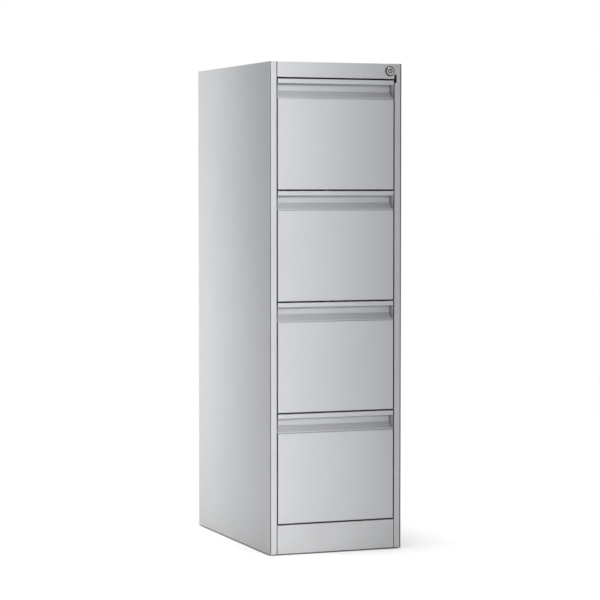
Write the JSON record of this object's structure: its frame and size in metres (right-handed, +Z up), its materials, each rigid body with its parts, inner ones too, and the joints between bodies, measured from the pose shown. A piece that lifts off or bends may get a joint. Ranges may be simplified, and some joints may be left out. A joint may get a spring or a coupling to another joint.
{
  "type": "filing cabinet",
  "caption": "Tall steel filing cabinet: stacked drawers on telescopic slides, each with a full-width recessed pull; a barrel lock in the top rail drops a bar that bolts every drawer.",
  "frame": {"origin": "on the floor, in the middle of the outline seen from above, lock included", "axes": "+Z up, the drawers open towards -Y, +X to the right of somebody who faces them"},
  "size_m": [0.381, 0.604, 1.321],
  "materials": {
    "grey_paint": "satin powder coat",
    "zinc_plate": "bright zinc plate",
    "nickel_plate": "satin nickel",
    "black_nylon": "moulded"
  },
  "bodies": {
    "case": {"left_side_panel": "grey_paint", "right_side_panel": "grey_paint", "back_panel": "grey_paint", "top_panel": "grey_paint", "base_pan": "grey_paint", "left_stile": "grey_paint", "front_frame": "grey_paint", "plinth": "grey_paint", "front_left_upright": "zinc_plate", "front_right_upright": "zinc_plate", "back_left_upright": "zinc_plate", "back_right_upright": "zinc_plate", "front_left_glide": "black_nylon", "front_right_glide": "black_nylon", "back_left_glide": "black_nylon", "back_right_glide": "black_nylon", "lock_housing": "nickel_plate", "lock_nut": "nickel_plate", "upper_bar_guide": "black_nylon", "lower_bar_guide": "black_nylon", "slide_1_left_cabinet_member": "zinc_plate", "slide_1_right_cabinet_member": "zinc_plate", "slide_2_left_cabinet_member": "zinc_plate", "slide_2_right_cabinet_member": "zinc_plate", "slide_3_left_cabinet_member": "zinc_plate", "slide_3_right_cabinet_member": "zinc_plate", "slide_4_left_cabinet_member": "zinc_plate", "slide_4_right_cabinet_member": "zinc_plate"},
    "lock_cylinder": {"lock_plug": "nickel_plate", "lock_cam": "zinc_plate"},
    "lock_bar": {"lock_bar": "zinc_plate", "lock_tab": "black_nylon"},
    "drawer_1": {"drawer_1_front": "grey_paint", "drawer_1_pull": "grey_paint", "drawer_1_tub": "grey_paint", "slide_1_left_drawer_member": "zinc_plate", "slide_1_right_drawer_member": "zinc_plate"},
    "runners_1": {"slide_1_left_middle_member": "zinc_plate", "slide_1_right_middle_member": "zinc_plate"},
    "drawer_2": {"drawer_2_front": "grey_paint", "drawer_2_pull": "grey_paint", "drawer_2_tub": "grey_paint", "slide_2_left_drawer_member": "zinc_plate", "slide_2_right_drawer_member": "zinc_plate"},
    "runners_2": {"slide_2_left_middle_member": "zinc_plate", "slide_2_right_middle_member": "zinc_plate"},
    "drawer_3": {"drawer_3_front": "grey_paint", "drawer_3_pull": "grey_paint", "drawer_3_tub": "grey_paint", "slide_3_left_drawer_member": "zinc_plate", "slide_3_right_drawer_member": "zinc_plate"},
    "runners_3": {"slide_3_left_middle_member": "zinc_plate", "slide_3_right_middle_member": "zinc_plate"},
    "drawer_4": {"drawer_4_front": "grey_paint", "drawer_4_pull": "grey_paint", "drawer_4_tub": "grey_paint", "slide_4_left_drawer_member": "zinc_plate", "slide_4_right_drawer_member": "zinc_plate"},
    "runners_4": {"slide_4_left_middle_member": "zinc_plate", "slide_4_right_middle_member": "zinc_plate"}
  },
  "joints": [
    {"name": "drawer_1_slide", "type": "slide", "parent": "case", "child": "drawer_1", "axis": [0, -1, 0], "range_m": [0, 0.53]},
    {"name": "runners_1_slide", "type": "slide", "parent": "case", "child": "runners_1", "axis": [0, -1, 0], "range_m": [0, 0.265]},
    {"name": "drawer_2_slide", "type": "slide", "parent": "case", "child": "drawer_2", "axis": [0, -1, 0], "range_m": [0, 0.53]},
    {"name": "runners_2_slide", "type": "slide", "parent": "case", "child": "runners_2", "axis": [0, -1, 0], "range_m": [0, 0.265]},
    {"name": "drawer_3_slide", "type": "slide", "parent": "case", "child": "drawer_3", "axis": [0, -1, 0], "range_m": [0, 0.53]},
    {"name": "runners_3_slide", "type": "slide", "parent": "case", "child": "runners_3", "axis": [0, -1, 0], "range_m": [0, 0.265]},
    {"name": "drawer_4_slide", "type": "slide", "parent": "case", "child": "drawer_4", "axis": [0, -1, 0], "range_m": [0, 0.53]},
    {"name": "runners_4_slide", "type": "slide", "parent": "case", "child": "runners_4", "axis": [0, -1, 0], "range_m": [0, 0.265]},
    {"name": "lock_turn", "type": "hinge", "parent": "case", "child": "lock_cylinder", "pos_m": [0.1559, -0.298, 1.3005], "axis": [0, 1, 0], "range_deg": [0, 90]},
    {"name": "lock_bar_slide", "type": "slide", "parent": "case", "child": "lock_bar", "axis": [0, 0, 1], "range_m": [-0.01273, 0]}
  ],
  "couplings": [
    {"joint": "runners_1_slide", "follows": "drawer_1_slide", "ratio": 0.5},
    {"joint": "runners_2_slide", "follows": "drawer_2_slide", "ratio": 0.5},
    {"joint": "runners_3_slide", "follows": "drawer_3_slide", "ratio": 0.5},
    {"joint": "runners_4_slide", "follows": "drawer_4_slide", "ratio": 0.5},
    {"joint": "lock_turn", "follows": "lock_bar_slide", "rad_per_m": -123.41}
  ]
}
